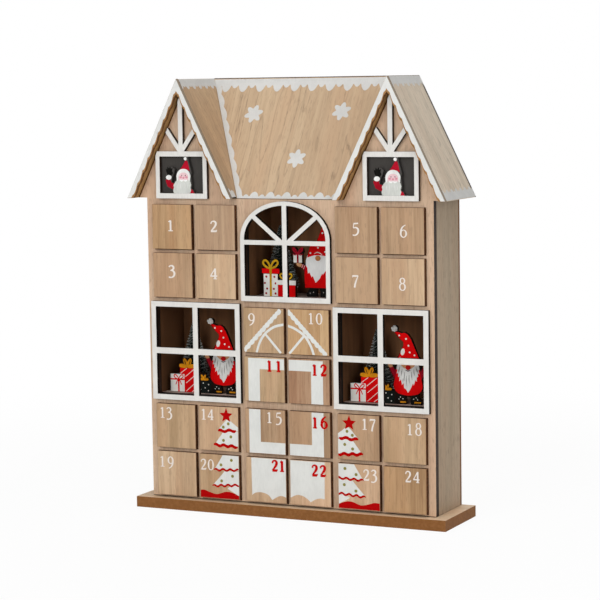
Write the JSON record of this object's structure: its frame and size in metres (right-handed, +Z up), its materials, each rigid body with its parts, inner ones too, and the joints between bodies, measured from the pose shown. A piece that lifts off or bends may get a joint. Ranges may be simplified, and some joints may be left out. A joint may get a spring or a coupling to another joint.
{
  "type": "refillable advent calendar",
  "caption": "Wooden gabled-house advent calendar with numbered pull-out drawers, white window frames with figures behind them, and a pitched roof between two front gables.",
  "frame": {"origin": "middle of the footprint at the underside of the base board", "axes": "+Z up, -Y towards the viewer of the front, +X to the viewer's right; the width runs along X and the drawers pull out along -Y"},
  "size_m": [0.3166, 0.075, 0.3998],
  "materials": {
    "facade_veneer": "matt pinkish-tan veneer, upright grain, unvarnished",
    "drawer_veneer": "matt light-brown veneer, upright grain, dark burnt edges, printed numbers",
    "roof_veneer": "matt light veneer with white paint along its edges",
    "dark_inner_board": "matt dark-brown board",
    "white_trim_paint": "smooth warm-white paint, burnt cut edges",
    "printed_figure": "printed and painted thin board",
    "tree_bristle": "dark-green bristle frosted white, on a wooden foot"
  },
  "bodies": {
    "house": {"base_board": "facade_veneer", "front_panel": "facade_veneer", "left_side_wall": "facade_veneer", "right_side_wall": "facade_veneer", "back_panel": "dark_inner_board", "shelf_under_row_5": "dark_inner_board", "shelf_under_row_4": "dark_inner_board", "shelf_under_row_2": "dark_inner_board", "attic_floor": "dark_inner_board", "middle_shelf": "dark_inner_board", "left_main_upright": "dark_inner_board", "right_main_upright": "dark_inner_board", "centre_upright": "dark_inner_board", "left_low_upright": "dark_inner_board", "right_low_upright": "dark_inner_board", "upper_left_partition": "dark_inner_board", "upper_right_partition": "dark_inner_board", "left_gable_outer_board": "roof_veneer", "left_gable_inner_board": "roof_veneer", "right_gable_outer_board": "roof_veneer", "right_gable_inner_board": "roof_veneer", "main_roof_board": "roof_veneer", "left_bargeboard": "white_trim_paint", "right_bargeboard": "white_trim_paint", "left_window_frame": "white_trim_paint", "right_window_frame": "white_trim_paint", "arch_window_frame": "white_trim_paint", "left_dormer_frame": "white_trim_paint", "right_dormer_frame": "white_trim_paint", "left_window_figures": "printed_figure", "right_window_figures": "printed_figure", "arch_gifts": "printed_figure", "arch_gnome": "printed_figure", "left_window_tree": "tree_bristle", "right_window_tree": "tree_bristle", "arch_tree": "tree_bristle"},
    "drawer_01_body": {"drawer_01": "drawer_veneer"},
    "drawer_02_body": {"drawer_02": "drawer_veneer"},
    "drawer_03_body": {"drawer_03": "drawer_veneer"},
    "drawer_04_body": {"drawer_04": "drawer_veneer"},
    "drawer_05_body": {"drawer_05": "drawer_veneer"},
    "drawer_06_body": {"drawer_06": "drawer_veneer"},
    "drawer_07_body": {"drawer_07": "drawer_veneer"},
    "drawer_08_body": {"drawer_08": "drawer_veneer"},
    "drawer_09_body": {"drawer_09": "drawer_veneer"},
    "drawer_10_body": {"drawer_10": "drawer_veneer"},
    "drawer_11_body": {"drawer_11": "drawer_veneer"},
    "drawer_12_body": {"drawer_12": "drawer_veneer"},
    "drawer_13_body": {"drawer_13": "drawer_veneer"},
    "drawer_14_body": {"drawer_14": "drawer_veneer"},
    "drawer_15_body": {"drawer_15": "drawer_veneer"},
    "drawer_16_body": {"drawer_16": "drawer_veneer"},
    "drawer_17_body": {"drawer_17": "drawer_veneer"},
    "drawer_18_body": {"drawer_18": "drawer_veneer"},
    "drawer_19_body": {"drawer_19": "drawer_veneer"},
    "drawer_20_body": {"drawer_20": "drawer_veneer"},
    "drawer_21_body": {"drawer_21": "drawer_veneer"},
    "drawer_22_body": {"drawer_22": "drawer_veneer"},
    "drawer_23_body": {"drawer_23": "drawer_veneer"},
    "drawer_24_body": {"drawer_24": "drawer_veneer"}
  },
  "joints": [
    {"name": "drawer_01_slide", "type": "slide", "parent": "house", "child": "drawer_01_body", "axis": [0, -1, 0], "range_m": [0, 0.052]},
    {"name": "drawer_02_slide", "type": "slide", "parent": "house", "child": "drawer_02_body", "axis": [0, -1, 0], "range_m": [0, 0.052]},
    {"name": "drawer_03_slide", "type": "slide", "parent": "house", "child": "drawer_03_body", "axis": [0, -1, 0], "range_m": [0, 0.052]},
    {"name": "drawer_04_slide", "type": "slide", "parent": "house", "child": "drawer_04_body", "axis": [0, -1, 0], "range_m": [0, 0.052]},
    {"name": "drawer_05_slide", "type": "slide", "parent": "house", "child": "drawer_05_body", "axis": [0, -1, 0], "range_m": [0, 0.052]},
    {"name": "drawer_06_slide", "type": "slide", "parent": "house", "child": "drawer_06_body", "axis": [0, -1, 0], "range_m": [0, 0.052]},
    {"name": "drawer_07_slide", "type": "slide", "parent": "house", "child": "drawer_07_body", "axis": [0, -1, 0], "range_m": [0, 0.052]},
    {"name": "drawer_08_slide", "type": "slide", "parent": "house", "child": "drawer_08_body", "axis": [0, -1, 0], "range_m": [0, 0.052]},
    {"name": "drawer_09_slide", "type": "slide", "parent": "house", "child": "drawer_09_body", "axis": [0, -1, 0], "range_m": [0, 0.052]},
    {"name": "drawer_10_slide", "type": "slide", "parent": "house", "child": "drawer_10_body", "axis": [0, -1, 0], "range_m": [0, 0.052]},
    {"name": "drawer_11_slide", "type": "slide", "parent": "house", "child": "drawer_11_body", "axis": [0, -1, 0], "range_m": [0, 0.052]},
    {"name": "drawer_12_slide", "type": "slide", "parent": "house", "child": "drawer_12_body", "axis": [0, -1, 0], "range_m": [0, 0.052]},
    {"name": "drawer_13_slide", "type": "slide", "parent": "house", "child": "drawer_13_body", "axis": [0, -1, 0], "range_m": [0, 0.052]},
    {"name": "drawer_14_slide", "type": "slide", "parent": "house", "child": "drawer_14_body", "axis": [0, -1, 0], "range_m": [0, 0.052]},
    {"name": "drawer_15_slide", "type": "slide", "parent": "house", "child": "drawer_15_body", "axis": [0, -1, 0], "range_m": [0, 0.052]},
    {"name": "drawer_16_slide", "type": "slide", "parent": "house", "child": "drawer_16_body", "axis": [0, -1, 0], "range_m": [0, 0.052]},
    {"name": "drawer_17_slide", "type": "slide", "parent": "house", "child": "drawer_17_body", "axis": [0, -1, 0], "range_m": [0, 0.052]},
    {"name": "drawer_18_slide", "type": "slide", "parent": "house", "child": "drawer_18_body", "axis": [0, -1, 0], "range_m": [0, 0.052]},
    {"name": "drawer_19_slide", "type": "slide", "parent": "house", "child": "drawer_19_body", "axis": [0, -1, 0], "range_m": [0, 0.052]},
    {"name": "drawer_20_slide", "type": "slide", "parent": "house", "child": "drawer_20_body", "axis": [0, -1, 0], "range_m": [0, 0.052]},
    {"name": "drawer_21_slide", "type": "slide", "parent": "house", "child": "drawer_21_body", "axis": [0, -1, 0], "range_m": [0, 0.052]},
    {"name": "drawer_22_slide", "type": "slide", "parent": "house", "child": "drawer_22_body", "axis": [0, -1, 0], "range_m": [0, 0.052]},
    {"name": "drawer_23_slide", "type": "slide", "parent": "house", "child": "drawer_23_body", "axis": [0, -1, 0], "range_m": [0, 0.052]},
    {"name": "drawer_24_slide", "type": "slide", "parent": "house", "child": "drawer_24_body", "axis": [0, -1, 0], "range_m": [0, 0.052]}
  ]
}
